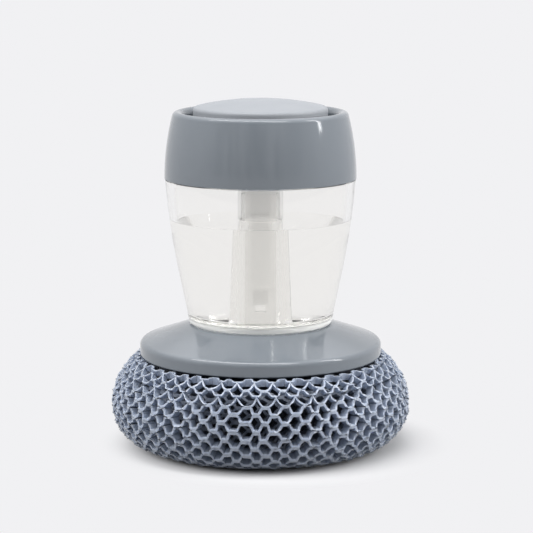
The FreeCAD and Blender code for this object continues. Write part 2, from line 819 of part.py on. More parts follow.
def make_plunger_stem():
    body = new_body("plunger_stem")
    stem_inner = dim.stem_radius - dim.stem_wall
    stem_floor = at.piston_top + dim.stem_floor
    revolve(body, "tube", [
        (None, at.tip_bottom),
        (dim.barb_radius, at.tip_bottom),
        (dim.barb_radius, at.piston_bottom),
        (dim.tip_radius, at.piston_bottom),
        (dim.tip_radius, at.piston_top),
        (dim.stem_radius, at.piston_top),
        (dim.stem_radius, at.stem_top),
        (stem_inner, at.stem_top),
        (stem_inner, stem_floor),
        (None, stem_floor),
    ])
    return body


def make_piston_cup():
    """A cup seal with a lip at each end and a waist between them."""
    body = new_body("piston_cup")
    inner = dim.tip_radius + dim.fit_clearance
    lip = dim.bore_radius - dim.fit_clearance
    waist = lip - dim.piston_waist
    revolve(body, "cup", [
        (inner, at.piston_bottom),
        (lip, at.piston_bottom),
        (lip, at.piston_bottom + dim.piston_lip),
        (waist, at.piston_bottom + dim.piston_lip * 2),
        (waist, at.piston_top - dim.piston_lip * 2),
        (lip, at.piston_top - dim.piston_lip),
        (lip, at.piston_top),
        (inner, at.piston_top),
    ])
    return body


def make_return_spring():
    """A round wire on a helix of quarter-turn arcs, between the sleeve's flange and the button."""
    wire = dim.spring_wire_radius.value
    radius = dim.spring_radius.value
    low = at.sleeve_top.value + wire + dim.fit_clearance.value
    high = button_under(dim.spring_radius + dim.spring_wire_radius).value - wire - dim.fit_clearance.value
    pitch = (high - low) / SPRING_TURNS

    def helix(turn):
        angle = 2 * math.pi * turn
        return FreeCAD.Vector(radius * math.cos(angle), radius * math.sin(angle), low + pitch * turn)

    steps = round(SPRING_TURNS * SPRING_STEPS_PER_TURN)
    turns = [step / SPRING_STEPS_PER_TURN for step in range(steps)]
    half_step = 0.5 / SPRING_STEPS_PER_TURN
    arcs = [Part.Arc(helix(t), helix(t + half_step), helix(t + 2 * half_step)).toShape() for t in turns]
    path = Part.Wire(arcs)
    start = arcs[0].valueAt(arcs[0].FirstParameter)
    heading = arcs[0].tangentAt(arcs[0].FirstParameter)
    section = Part.Wire(Part.makeCircle(wire, start, heading))
    shape = path.makePipeShell([section], True, False)
    print(f"return_spring: {SPRING_TURNS} turns, least gap to itself {pitch - 2 * wire:.2f} mm")
    spring = doc.addObject("Part::Feature", "return_spring")
    spring.Label = "return_spring"
    spring.Shape = shape
    spring.Placement = FreeCAD.Placement()
    return spring


pieces = [
    make_scourer(),
    make_base_plate(),
    make_net_retainer(),
    make_net_hoop(),
    make_retainer_screws(),
    make_base_gasket(),
    make_tank(),
    make_outlet_valve(),
    make_valve_ring(),
    make_lid_gasket(),
    make_sleeve_seal(),
    make_cap_shell(),
    make_inner_lid(),
    make_guide_sleeve(),
    make_stem_wiper(),
    make_vent_valve(),
    make_return_spring(),
    make_button(),
    make_plunger_stem(),
    make_piston_cup(),
]
doc.recompute()

failed = [item.Label for item in doc.Objects if {"Invalid", "Error"} & set(item.State)]
failed += [piece.Label for piece in pieces if piece.Shape.isNull() or not piece.Shape.isValid()]
if failed:
    raise RuntimeError(f"failed objects: {failed}")

os.makedirs("parts", exist_ok=True)
for piece in pieces:
    piece.Shape.exportStep(f"parts/{piece.Label}.step")
    box = piece.Shape.BoundBox
    print(f"{piece.Label:16s} volume {piece.Shape.Volume:9.1f} mm3, z {box.ZMin:6.2f} to {box.ZMax:6.2f}")
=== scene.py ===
# %% [markdown]
# A palm scrubber for dishes, dressed for its picture.
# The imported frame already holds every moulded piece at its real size, so this lesson keeps those solids,
# gives each one a finish, and models what only shows up close or gives under the hand: the honeycomb net of
# the scourer, the spring under the button and the soap in the clear tank. One unit is one metre, and the
# scrubber stands on z = 0.

# %% Load the frame
import math

import bpy
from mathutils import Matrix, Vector, noise


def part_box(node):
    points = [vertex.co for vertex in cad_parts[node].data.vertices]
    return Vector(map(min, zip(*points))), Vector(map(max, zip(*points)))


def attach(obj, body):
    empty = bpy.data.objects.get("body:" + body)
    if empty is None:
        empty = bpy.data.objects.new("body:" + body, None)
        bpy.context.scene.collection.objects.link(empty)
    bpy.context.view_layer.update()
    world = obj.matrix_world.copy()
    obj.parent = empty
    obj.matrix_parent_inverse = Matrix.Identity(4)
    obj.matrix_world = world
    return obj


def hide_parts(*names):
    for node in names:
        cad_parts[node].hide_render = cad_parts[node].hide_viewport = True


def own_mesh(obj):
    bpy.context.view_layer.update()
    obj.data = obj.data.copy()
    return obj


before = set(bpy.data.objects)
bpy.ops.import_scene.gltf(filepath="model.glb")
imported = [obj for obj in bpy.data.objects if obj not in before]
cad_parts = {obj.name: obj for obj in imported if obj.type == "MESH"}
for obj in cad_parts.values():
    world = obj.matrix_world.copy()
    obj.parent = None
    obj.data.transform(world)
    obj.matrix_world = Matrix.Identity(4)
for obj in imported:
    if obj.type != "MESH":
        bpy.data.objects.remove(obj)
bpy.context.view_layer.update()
MM = 0.001
print("nodes:", sorted(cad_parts))

# %% [markdown]
# The picture was taken with a long lens from a little above the tank's middle, which keeps the cap's rim
# and the plate as flat ellipses. A camera is fixed by its distance, its tilt and its lens: the tilt comes
# from how open those ellipses are, and the lens from how much nearer things grow.

# %% Camera
TARGET = Vector((1.9 * MM, 0, 57.2 * MM))
CAMERA_TILT = math.radians(9.5)
CAMERA_DISTANCE = 698.9 * MM

camera_data = bpy.data.cameras.new("camera")
camera_data.sensor_width = 36.0
camera_data.lens = 148.6
camera = bpy.data.objects.new("camera", camera_data)
bpy.context.scene.collection.objects.link(camera)
camera.location = TARGET + CAMERA_DISTANCE * Vector((0, -math.cos(CAMERA_TILT), math.sin(CAMERA_TILT)))
camera.rotation_euler = (math.pi / 2 - CAMERA_TILT, 0, 0)
bpy.context.scene.camera = camera
bpy.context.scene.view_settings.view_transform = "Standard"
print("camera at", [round(c, 3) for c in camera.location])

# %% [markdown]
# Small helpers come first. An operator acts on everything that is selected, so each step starts by
# selecting one object alone. A lathe takes half of a section and spins it round the upright axis, as a
# moulder's tool is turned.

# %% Helpers for modelling
SAME_POINT = 1e-6
TURNED_SMOOTH = math.radians(35)


def take(piece):
    """Select one object alone and make it active."""
    if bpy.context.mode != "OBJECT":
        bpy.ops.object.mode_set(mode="OBJECT")
    bpy.ops.object.select_all(action="DESELECT")
    piece.select_set(True)
    bpy.context.view_layer.objects.active = piece
    return piece


def apply_modifiers(piece):
    """Make what the modifiers do part of the mesh."""
    take(piece)
    for modifier in list(piece.modifiers):
        bpy.ops.object.modifier_apply(modifier=modifier.name)


def point_outwards(piece, merge=SAME_POINT):
    """Merge what lies together and turn every face outwards."""
    take(piece)
    bpy.ops.object.mode_set(mode="EDIT")
    bpy.ops.mesh.select_all(action="SELECT")
    bpy.ops.mesh.remove_doubles(threshold=merge)
    bpy.ops.mesh.normals_make_consistent(inside=False)
    bpy.ops.object.mode_set(mode="OBJECT")


def lathe(name, section, steps):
    """Spin a section of (radius, height) points, in millimetres, round the upright axis."""
    mesh = bpy.data.meshes.new(name)
    points = [(radius * MM, 0, height * MM) for radius, height in section]
    mesh.from_pydata(points, [(i, i + 1) for i in range(len(points) - 1)], [])
    piece = bpy.data.objects.new(name, mesh)
    bpy.context.scene.collection.objects.link(piece)
    take(piece)
    bpy.ops.object.mode_set(mode="EDIT")
    bpy.ops.mesh.select_all(action="SELECT")
    bpy.ops.mesh.spin(steps=steps, angle=2 * math.pi, center=(0, 0, 0), axis=(0, 0, 1))
    bpy.ops.object.mode_set(mode="OBJECT")
    point_outwards(piece)
    bpy.ops.object.shade_smooth_by_angle(angle=TURNED_SMOOTH)
    return piece


print("helpers:", [helper.__name__ for helper in (take, apply_modifiers, point_outwards, lathe)])

# %% [markdown]
# The scene around the scrubber is a pale sweep under soft light. The floor near the scrubber is a plain
# diffuse surface that takes its shadow, and further out it fades into the colour of the backdrop, so no
# horizon shows from any side. A white floor would throw much light up at the upright walls, so what it
# throws back is darker than what it shows.

# %% Floor and backdrop
BACKDROP = (0.879, 0.879, 0.896, 1.0)
FLOOR_SHOWN = (0.64, 0.64, 0.65, 1)
FLOOR_BOUNCE = (0.30, 0.30, 0.30, 1)
FLOOR_RADIUS = 2.5
SHADOW_SHIFT = (-5.0 * MM, 0, 0)
FADE_START, FADE_END = 38.0 * MM, 58.0 * MM


def new_material(name):
    """An empty node material, with its nodes and links."""
    material = bpy.data.materials.new(name)
    material.use_nodes = True
    material.node_tree.nodes.clear()
    return material, material.node_tree.nodes, material.node_tree.links


def add(nodes, kind, **values):
    """Add a node and set its sockets by name."""
    node = nodes.new(kind)
    for socket, value in values.items():
        node.inputs[socket.replace("_", " ")].default_value = value
    return node


def add_operation(nodes, kind, operation):
    """Add a math node that does one operation."""
    node = nodes.new(kind)
    node.operation = operation
    return node


def floor_finish():
    """A surface that takes the shadow near the scrubber and glows like the backdrop further out."""
    material, nodes, links = new_material("pale_sweep")
    output = add(nodes, "ShaderNodeOutputMaterial")
    diffuse = add(nodes, "ShaderNodeBsdfDiffuse", Color=FLOOR_SHOWN)
    bounce = add(nodes, "ShaderNodeBsdfDiffuse", Color=FLOOR_BOUNCE)
    ground = add(nodes, "ShaderNodeMixShader")
    glow = add(nodes, "ShaderNodeEmission", Color=BACKDROP)
    place = add(nodes, "ShaderNodeTexCoord")
    shift = add(nodes, "ShaderNodeMapping", Location=SHADOW_SHIFT)
    length = add_operation(nodes, "ShaderNodeVectorMath", "LENGTH")
    fade = add(nodes, "ShaderNodeMapRange", From_Min=FADE_START, From_Max=FADE_END)
    fade.interpolation_type = "SMOOTHSTEP"
    ray = add(nodes, "ShaderNodeLightPath")
    seen = add_operation(nodes, "ShaderNodeMath", "MAXIMUM")
    also = add_operation(nodes, "ShaderNodeMath", "MAXIMUM")
    share = add_operation(nodes, "ShaderNodeMath", "MULTIPLY")
    mix = add(nodes, "ShaderNodeMixShader")
    links.new(place.outputs["Object"], shift.inputs["Vector"])
    links.new(shift.outputs["Vector"], length.inputs[0])
    links.new(length.outputs["Value"], fade.inputs["Value"])
    links.new(ray.outputs["Is Camera Ray"], seen.inputs[0])
    links.new(ray.outputs["Is Transmission Ray"], seen.inputs[1])
    links.new(seen.outputs[0], also.inputs[0])
    links.new(ray.outputs["Is Glossy Ray"], also.inputs[1])
    links.new(also.outputs[0], share.inputs[0])
    links.new(fade.outputs["Result"], share.inputs[1])
    links.new(share.outputs[0], mix.inputs[0])
    links.new(ray.outputs["Is Diffuse Ray"], ground.inputs[0])
    links.new(diffuse.outputs[0], ground.inputs[1])
    links.new(bounce.outputs[0], ground.inputs[2])
    links.new(ground.outputs[0], mix.inputs[1])
    links.new(glow.outputs[0], mix.inputs[2])
    links.new(mix.outputs[0], output.inputs["Surface"])
    return material


bpy.ops.object.select_all(action="DESELECT")
bpy.ops.mesh.primitive_circle_add(vertices=128, radius=FLOOR_RADIUS, fill_type="NGON", location=(0, 0, 0))
floor = bpy.context.active_object
floor.name = "floor"
floor.data.materials.append(floor_finish())
print("floor:", [round(d, 2) for d in floor.dimensions], "m")

# %% [markdown]
# The world gives an even light from all round. What the camera and the clear plastic see of it is the
# backdrop's colour, while the light that falls on the pieces has its own plain level. Glossy plastic shows
# its surroundings, so it gets some of its own: a dim room in front, with soft upright streaks such as any
# room leaves on polished plastic, and a brighter sky above.

# %% World
WORLD_LIGHT = 0.25
DARK_STREAK, PALE_STREAK = 0.03, 0.85
DARK_BELOW, PALE_ABOVE = 0.38, 0.62
STREAK_STRETCH = (7.0, 0.0, 1.2)
ROOM_FROM, ROOM_TO = -0.95, -0.25
BRIGHT_SKY = 2.4
SKY_FROM, SKY_TO = 0.45, 0.75

world = bpy.data.worlds.new("studio")
bpy.context.scene.world = world
world.use_nodes = True
world_nodes, world_links = world.node_tree.nodes, world.node_tree.links
world_nodes.clear()
world_output = add(world_nodes, "ShaderNodeOutputWorld")
shown = add(world_nodes, "ShaderNodeBackground", Color=BACKDROP)
mirrored = add(world_nodes, "ShaderNodeBackground", Color=BACKDROP)
heading = add(world_nodes, "ShaderNodeTexCoord")
axes = add(world_nodes, "ShaderNodeSeparateXYZ")
front = add(world_nodes, "ShaderNodeMapRange", From_Min=ROOM_FROM, From_Max=ROOM_TO)
sky = add(
    world_nodes, "ShaderNodeMapRange", From_Min=SKY_FROM, From_Max=SKY_TO, To_Min=1.0, To_Max=BRIGHT_SKY)
stretch = add(world_nodes, "ShaderNodeMapping", Scale=STREAK_STRETCH)
streaks = add(world_nodes, "ShaderNodeTexNoise", Scale=1.0, Detail=2.0)
streak_level = add(
    world_nodes, "ShaderNodeMapRange", From_Min=DARK_BELOW, From_Max=PALE_ABOVE, To_Min=DARK_STREAK,
    To_Max=PALE_STREAK)
mirror_level = world_nodes.new("ShaderNodeMix")
inside_clear = add_operation(world_nodes, "ShaderNodeMath", "MINIMUM")
inside_clear.inputs[1].default_value = 1.0
mirror_cap = world_nodes.new("ShaderNodeMix")
mirror_cap.inputs["B"].default_value = 1.0
lighting = add(world_nodes, "ShaderNodeBackground", Color=(1, 1, 1, 1), Strength=WORLD_LIGHT)
world_ray = add(world_nodes, "ShaderNodeLightPath")
clear_ray = add_operation(world_nodes, "ShaderNodeMath", "MAXIMUM")
world_mix = add(world_nodes, "ShaderNodeMixShader")
mirror_mix = add(world_nodes, "ShaderNodeMixShader")
world_links.new(world_ray.outputs["Is Camera Ray"], clear_ray.inputs[0])
world_links.new(world_ray.outputs["Is Transmission Ray"], clear_ray.inputs[1])
world_links.new(heading.outputs["Generated"], axes.inputs[0])
world_links.new(axes.outputs["Y"], front.inputs["Value"])
world_links.new(heading.outputs["Generated"], stretch.inputs["Vector"])
world_links.new(stretch.outputs["Vector"], streaks.inputs["Vector"])
world_links.new(streaks.outputs["Fac"], streak_level.inputs["Value"])
world_links.new(axes.outputs["Z"], sky.inputs["Value"])
world_links.new(front.outputs["Result"], mirror_level.inputs["Factor"])
world_links.new(streak_level.outputs["Result"], mirror_level.inputs["A"])
world_links.new(sky.outputs["Result"], mirror_level.inputs["B"])
world_links.new(world_ray.outputs["Transmission Depth"], inside_clear.inputs[0])
world_links.new(inside_clear.outputs[0], mirror_cap.inputs["Factor"])
world_links.new(mirror_level.outputs["Result"], mirror_cap.inputs["A"])
world_links.new(mirror_cap.outputs["Result"], mirrored.inputs["Strength"])
world_links.new(clear_ray.outputs[0], world_mix.inputs[0])
world_links.new(lighting.outputs[0], world_mix.inputs[1])
world_links.new(shown.outputs[0], world_mix.inputs[2])
world_links.new(world_ray.outputs["Is Glossy Ray"], mirror_mix.inputs[0])
world_links.new(world_mix.outputs[0], mirror_mix.inputs[1])
world_links.new(mirrored.outputs[0], mirror_mix.inputs[2])
world_links.new(mirror_mix.outputs[0], world_output.inputs["Surface"])
print("world light", WORLD_LIGHT)

# %% [markdown]
# Five lamps shape it: a broad one overhead for the tops, a soft one in front that reaches into the cells of
# the net, one on each side for the cap's brighter flanks, and a narrow one high at the right, whose
# reflection is the short bright mark near the cap's rim. Only the first and the last may show in glossy
# plastic, because a mirrored rectangle would look like a window.

# %% Lamps
FOOT, MIDDLE, TOP = (0, 0, 0.05), (0, 0, 0.07), (0, 0, 0.1)


def lamp(name, place, aim, size, power):
    """An area lamp at a place, turned to the point that it is aimed at."""
    data = bpy.data.lights.new(name, "AREA")
    data.shape = "RECTANGLE"
    data.size, data.size_y = size
    data.energy = power
    light = bpy.data.objects.new(name, data)
    bpy.context.scene.collection.objects.link(light)
    light.location = place
    light.rotation_euler = (Vector(aim) - Vector(place)).to_track_quat("-Z", "Y").to_euler()
    return light


overhead = lamp("overhead_lamp", (-0.10, -0.17, 0.95), aim=FOOT, size=(1.3, 0.24), power=7.2)
front_key = lamp("front_lamp", (-0.15, -0.75, 0.80), aim=FOOT, size=(1.1, 0.7), power=2.8)
left_side = lamp("left_lamp", (-0.90, -0.25, 0.55), aim=MIDDLE, size=(0.6, 0.8), power=6.8)
right_side = lamp("right_lamp", (0.95, -0.15, 0.45), aim=MIDDLE, size=(0.8, 0.8), power=7.8)
right_mark = lamp("right_strip", (0.85, -0.12, 0.62), aim=TOP, size=(0.08, 0.68), power=2.8)
for light in (left_side, right_side, front_key):
    light.visible_glossy = False
    light.visible_transmission = False
print("lamps:", [light.name for light in (overhead, front_key, left_side, right_side, right_mark)])

# %% [markdown]
# Moulded plastic is never quite even: the polish of the mould varies, and the colour shifts a little where
# the melt flowed. Several finishes need that, so it is a node group with its own inputs. It puts out a
# colour, a roughness and a height for the bump.

# %% Moulded surface group


def moulded_group():
    """Colour, roughness and height of a moulded surface, from two noises."""
    group = bpy.data.node_groups.new("moulded_surface", "ShaderNodeTree")
    sockets = group.interface
    sockets.new_socket("Colour", in_out="INPUT", socket_type="NodeSocketColor")
    sockets.new_socket("Shade", in_out="INPUT", socket_type="NodeSocketColor")
    sockets.new_socket("Flow Scale", in_out="INPUT", socket_type="NodeSocketFloat")
    sockets.new_socket("Grain Scale", in_out="INPUT", socket_type="NodeSocketFloat")
    sockets.new_socket("Polish", in_out="INPUT", socket_type="NodeSocketFloat")
    sockets.new_socket("Polish Spread", in_out="INPUT", socket_type="NodeSocketFloat")
    sockets.new_socket("Colour", in_out="OUTPUT", socket_type="NodeSocketColor")
    sockets.new_socket("Roughness", in_out="OUTPUT", socket_type="NodeSocketFloat")
    sockets.new_socket("Height", in_out="OUTPUT", socket_type="NodeSocketFloat")
    nodes, links = group.nodes, group.links
    inside = nodes.new("NodeGroupInput")
    outside = nodes.new("NodeGroupOutput")
    place = nodes.new("ShaderNodeTexCoord")
    flow = add(nodes, "ShaderNodeTexNoise", Detail=3.0, Roughness=0.5)
    grain = add(nodes, "ShaderNodeTexNoise", Detail=2.0, Roughness=0.6)
    tint = nodes.new("ShaderNodeMix")
    tint.data_type = "RGBA"
    spread = add_operation(nodes, "ShaderNodeMath", "MULTIPLY_ADD")
    links.new(place.outputs["Object"], flow.inputs["Vector"])
    links.new(place.outputs["Object"], grain.inputs["Vector"])
    links.new(inside.outputs["Flow Scale"], flow.inputs["Scale"])
    links.new(inside.outputs["Grain Scale"], grain.inputs["Scale"])
    links.new(flow.outputs["Fac"], tint.inputs["Factor"])
    links.new(inside.outputs["Colour"], tint.inputs["A"])
    links.new(inside.outputs["Shade"], tint.inputs["B"])
    links.new(flow.outputs["Fac"], spread.inputs[0])
    links.new(inside.outputs["Polish Spread"], spread.inputs[1])
    links.new(inside.outputs["Polish"], spread.inputs[2])
    links.new(tint.outputs["Result"], outside.inputs["Colour"])
    links.new(spread.outputs[0], outside.inputs["Roughness"])
    links.new(grain.outputs["Fac"], outside.inputs["Height"])
    return group


MOULDED = moulded_group()
print("group:", MOULDED.name, [item.name for item in MOULDED.interface.items_tree])

# %% [markdown]
# Each moulded finish is one Principled shader fed by that group. Glossy pieces get a low roughness and hardly
# any bump, the matte button gets a fine grain, and rubber is darker and softer. The sleeve and the stem are
# thin milky plastic that much light passes, so theirs is a low alpha. The net's plastic glows a little from
# within, so it has some subsurface light. The net's inner fold gets the same plastic about half as bright,
# which is painted shade, and the core gets a near black that is painted shade for the darkness in the ball.

# %% Moulded finishes
BUMP_DEPTH = 0.05 * MM


def moulded_finish(name, colour, shade, polish, spread, bump, flow=120.0, grain=1500.0, **shader_values):
    """A plastic, rubber or metal between two close colours."""
    material, nodes, links = new_material(name)
    output = add(nodes, "ShaderNodeOutputMaterial")
    shader = add(nodes, "ShaderNodeBsdfPrincipled", **shader_values)
    surface = nodes.new("ShaderNodeGroup")
    surface.node_tree = MOULDED
    surface.inputs["Colour"].default_value = (*colour, 1)
    surface.inputs["Shade"].default_value = (*shade, 1)
    surface.inputs["Flow Scale"].default_value = flow
    surface.inputs["Grain Scale"].default_value = grain
    surface.inputs["Polish"].default_value = polish
    surface.inputs["Polish Spread"].default_value = spread
    relief = add(nodes, "ShaderNodeBump", Strength=bump, Distance=BUMP_DEPTH)
    links.new(surface.outputs["Colour"], shader.inputs["Base Color"])
    links.new(surface.outputs["Roughness"], shader.inputs["Roughness"])
    links.new(surface.outputs["Height"], relief.inputs["Height"])
    links.new(relief.outputs["Normal"], shader.inputs["Normal"])
    links.new(shader.outputs[0], output.inputs["Surface"])
    return material


glossy_grey = moulded_finish("glossy_grey", (0.172, 0.192, 0.215), (0.163, 0.183, 0.206), 0.07, 0.06, 0.03)
matte_grey = moulded_finish("matte_grey", (0.285, 0.300, 0.323), (0.273, 0.288, 0.311), 0.42, 0.12, 0.25)
milky_grey = moulded_finish(
    "milky_grey", (0.92, 0.92, 0.91), (0.88, 0.88, 0.87), 0.40, 0.10, 0.05, Alpha=0.15)
natural_white = moulded_finish(
    "natural_white", (0.92, 0.92, 0.91), (0.88, 0.88, 0.87), 0.35, 0.10, 0.05, Alpha=0.05)
inner_white = moulded_finish("inner_white", (0.66, 0.66, 0.65), (0.62, 0.62, 0.61), 0.35, 0.10, 0.05)
soft_seal = moulded_finish("soft_seal", (0.50, 0.51, 0.52), (0.46, 0.47, 0.48), 0.55, 0.10, 0.10)
dark_seal = moulded_finish("dark_seal", (0.10, 0.11, 0.13), (0.08, 0.09, 0.11), 0.45, 0.10, 0.10)
net_plastic = moulded_finish(
    "net_plastic", (0.375, 0.424, 0.522), (0.31, 0.353, 0.435), 0.24, 0.14, 0.05, flow=260.0,
    Subsurface_Weight=0.7, Subsurface_Radius=(1.0, 1.0, 1.0), Subsurface_Scale=1.2 * MM)
# The inner fold's finish is the net's plastic at about half its brightness: painted shade for the fold deep
# in the ball.
net_painted_shade = moulded_finish(
    "net_painted_shade", (0.20, 0.225, 0.28), (0.16, 0.185, 0.235), 0.30, 0.14, 0.05, flow=260.0)
# The core's near black is painted shade: it stands for the darkness deep inside the ball.
net_painted_dark_core = moulded_finish("net_painted_dark_core", (0.045, 0.052, 0.070), (0.03, 0.036, 0.05), 0.6, 0.2, 0.3)
spring_steel = moulded_finish(
    "spring_steel", (0.60, 0.60, 0.59), (0.52, 0.52, 0.51), 0.22, 0.12, 0.05, Metallic=1.0)
moulded = (
    glossy_grey, matte_grey, milky_grey, natural_white, inner_white, soft_seal, dark_seal, net_plastic,
    net_painted_shade, net_painted_dark_core, spring_steel)
print("moulded finishes:", [finish.name for finish in moulded])

# %% [markdown]
# The tank is clear and slightly warm, and the soap in it is thinner still. Both are Principled shaders with
# full transmission. Lamps have to reach what stands inside, so a light's own shadow rays pass straight
# through, with a little of the tint. So does a ray that has run round in the walls for too long: it would
# end black, and here it ends a little grey. The tank's floor is cloudy round the column, as thick plastic is,
# and the free surface of the soap bends light less than its walls, because it hardly shows on a real tank.

# %% Clear finishes
FROST_LOW, FROST_HIGH = 40.8 * MM, 42.2 * MM
FROST_INSIDE, FROST_OUTSIDE = 6.0 * MM, 7.0 * MM
FROST_WHITE = (0.92, 0.92, 0.91, 1)
TRAPPED_AFTER = 10.5
TRAPPED_TINT = (0.88, 0.88, 0.88, 1)


def cloudy(nodes, links, clear, frost):
    """Mix white into a clear shader at the tank's floor, outside the column's bore."""
    place = add(nodes, "ShaderNodeTexCoord")
    axes = add(nodes, "ShaderNodeSeparateXYZ")
    low = add(
        nodes, "ShaderNodeMapRange", From_Min=FROST_LOW, From_Max=FROST_HIGH, To_Min=frost, To_Max=0.0)
    level = add(nodes, "ShaderNodeCombineXYZ")
    radius = add_operation(nodes, "ShaderNodeVectorMath", "LENGTH")
    outside = add(nodes, "ShaderNodeMapRange", From_Min=FROST_INSIDE, From_Max=FROST_OUTSIDE)
    share = add_operation(nodes, "ShaderNodeMath", "MULTIPLY")
    white = add(nodes, "ShaderNodeBsdfDiffuse", Color=FROST_WHITE)
    mix = add(nodes, "ShaderNodeMixShader")
    links.new(place.outputs["Object"], axes.inputs[0])
    links.new(axes.outputs["Z"], low.inputs["Value"])
    links.new(axes.outputs["X"], level.inputs["X"])
    links.new(axes.outputs["Y"], level.inputs["Y"])
    links.new(level.outputs[0], radius.inputs[0])
    links.new(radius.outputs["Value"], outside.inputs["Value"])
    links.new(low.outputs["Result"], share.inputs[0])
    links.new(outside.outputs["Result"], share.inputs[1])
    links.new(share.outputs[0], mix.inputs[0])
    links.new(clear.outputs[0], mix.inputs[1])
    links.new(white.outputs[0], mix.inputs[2])
    return mix


def clear_finish(name, colour, index, roughness, frost=0.0):
    """A clear plastic or liquid that lets shadow rays and trapped rays straight through."""
    material, nodes, links = new_material(name)
    output = add(nodes, "ShaderNodeOutputMaterial")
    shader = add(
        nodes, "ShaderNodeBsdfPrincipled", Base_Color=(*colour, 1), Roughness=roughness, IOR=index,
        Transmission_Weight=1.0)
    if frost:
        shader = cloudy(nodes, links, shader, frost)
    through = add(nodes, "ShaderNodeBsdfTransparent")
    tint = nodes.new("ShaderNodeMix")
    tint.data_type = "RGBA"
    tint.inputs["A"].default_value = (*colour, 1)
    tint.inputs["B"].default_value = TRAPPED_TINT
    ray = add(nodes, "ShaderNodeLightPath")
    trapped = add_operation(nodes, "ShaderNodeMath", "GREATER_THAN")
    trapped.inputs[1].default_value = TRAPPED_AFTER
    straight = add_operation(nodes, "ShaderNodeMath", "MAXIMUM")
    mix = add(nodes, "ShaderNodeMixShader")
    links.new(ray.outputs["Ray Depth"], trapped.inputs[0])
    links.new(ray.outputs["Is Shadow Ray"], straight.inputs[0])
    links.new(trapped.outputs[0], straight.inputs[1])
    links.new(trapped.outputs[0], tint.inputs["Factor"])
    links.new(tint.outputs["Result"], through.inputs["Color"])
    links.new(straight.outputs[0], mix.inputs[0])
    links.new(shader.outputs[0], mix.inputs[1])
    links.new(through.outputs[0], mix.inputs[2])
    links.new(mix.outputs[0], output.inputs["Surface"])
    return material


tank_plastic = clear_finish("tank_plastic", (0.985, 0.980, 0.966), 1.49, 0.0, frost=0.75)
liquid_soap = clear_finish("liquid_soap", (0.992, 0.990, 0.982), 1.27, 0.0)
soap_surface = clear_finish("soap_surface", (0.992, 0.990, 0.982), 1.08, 0.0)
print("clear finishes:", [m.name for m in (tank_plastic, liquid_soap, soap_surface)])

# %% [markdown]
# Now every solid of the frame gets its finish. The solids themselves are right as they are, so only their
# material slots change.

# %% Finishes on the solids
FINISHES = {
    "base_plate": glossy_grey,
    "cap_shell": glossy_grey,
    "button": matte_grey,
    "tank": tank_plastic,
    "guide_sleeve": milky_grey,
    "plunger_stem": natural_white,
    "inner_lid": inner_white,
    "net_retainer": glossy_grey,
    "net_hoop": inner_white,
    "retainer_screws": spring_steel,
    "base_gasket": dark_seal,
    "lid_gasket": soft_seal,
    "sleeve_seal": milky_grey,
    "stem_wiper": soft_seal,
    "vent_valve": soft_seal,
    "piston_cup": natural_white,
    "outlet_valve": dark_seal,
    "valve_ring": inner_white,
}
for node, finish in FINISHES.items():
    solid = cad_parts[node]
    solid.data.materials.clear()
    solid.data.materials.append(finish)
print("dressed", len(FINISHES), "solids")

# %% [markdown]
# The scourer is a tube of netting, drawn in at the plate and gathered under the foot. Up close it is a stack
# of plastic tapes that stand on edge and run round the ball in waves. Where a crest of one meets a trough of
# the next they are welded, which leaves six-sided cells. A wave round a ball is nothing that an operator
# bends, so each tape starts as a plain band, and its points are then laid on the ball's outline. The tapes
# lie flatter than the ball's own surface, so from the front one sees their upper sides low on the ball.

# %% Outline of the net
UPPER_CENTRE, UPPER_BEND, UPPER_LEAN = (28.2, 13.7), 19.2, math.radians(50.5)
NECK_CENTRE, NECK_BEND, NECK_DEPTH = (38.50, 26.20), 3.0, 2.4
LOWER_CENTRE, LOWER_BEND = (33.95, 13.7), 13.45
GATHER_CENTRE, GATHER_BEND = (13.5, 6.25), 6.0
FLAT_WALL_SHARE = 0.65
LEAN_EASE_SHARE = 0.5
NECK_RUN = NECK_BEND * (math.pi / 2 - UPPER_LEAN)
UPPER_END = NECK_RUN + UPPER_BEND * UPPER_LEAN
LOWER_END = UPPER_END + LOWER_BEND * math.pi / 2
FOOT_END = LOWER_END + LOWER_CENTRE[0] - GATHER_CENTRE[0]
GATHER_END = FOOT_END + GATHER_BEND * math.pi / 2


def wall_lean_share(inward):
    """How far a wall leans with the surface: all of it at the neck and the foot, less between them."""
    ease = min(max(inward / LEAN_EASE_SHARE, 0.0), 1.0)
    return 1.0 - (1.0 - FLAT_WALL_SHARE) * ease * ease * (3 - 2 * ease)


def net_outline(along, depth):
    """Radius and height of the net, along its outline from the neck and below its surface, in mm."""
    if along < NECK_RUN:
        centre, reach = NECK_CENTRE, NECK_BEND - min(depth, NECK_DEPTH)
        lean = math.pi / 2 - along / NECK_BEND
    elif along < UPPER_END:
        lean = UPPER_LEAN - (along - NECK_RUN) / UPPER_BEND
        slope = lean * wall_lean_share((UPPER_LEAN - lean) / UPPER_LEAN)
        return (UPPER_CENTRE[0] + UPPER_BEND * math.cos(lean) - depth * math.cos(slope),
                UPPER_CENTRE[1] + UPPER_BEND * math.sin(lean) - depth * math.sin(slope))
    elif along < LOWER_END:
        lean = -(along - UPPER_END) / LOWER_BEND
        slope = lean * wall_lean_share(1 + lean / (math.pi / 2))
        return (LOWER_CENTRE[0] + LOWER_BEND * math.cos(lean) - depth * math.cos(slope),
                LOWER_CENTRE[1] + LOWER_BEND * math.sin(lean) - depth * math.sin(slope))
    elif along < FOOT_END:
        return LOWER_CENTRE[0] - (along - LOWER_END), LOWER_CENTRE[1] - LOWER_BEND + depth
    else:
        centre, reach = GATHER_CENTRE, GATHER_BEND - depth
        lean = -math.pi / 2 - (along - FOOT_END) / GATHER_BEND
    return centre[0] + reach * math.cos(lean), centre[1] + reach * math.sin(lean)


print("outline:", round(GATHER_END, 1), "mm from neck to gather")

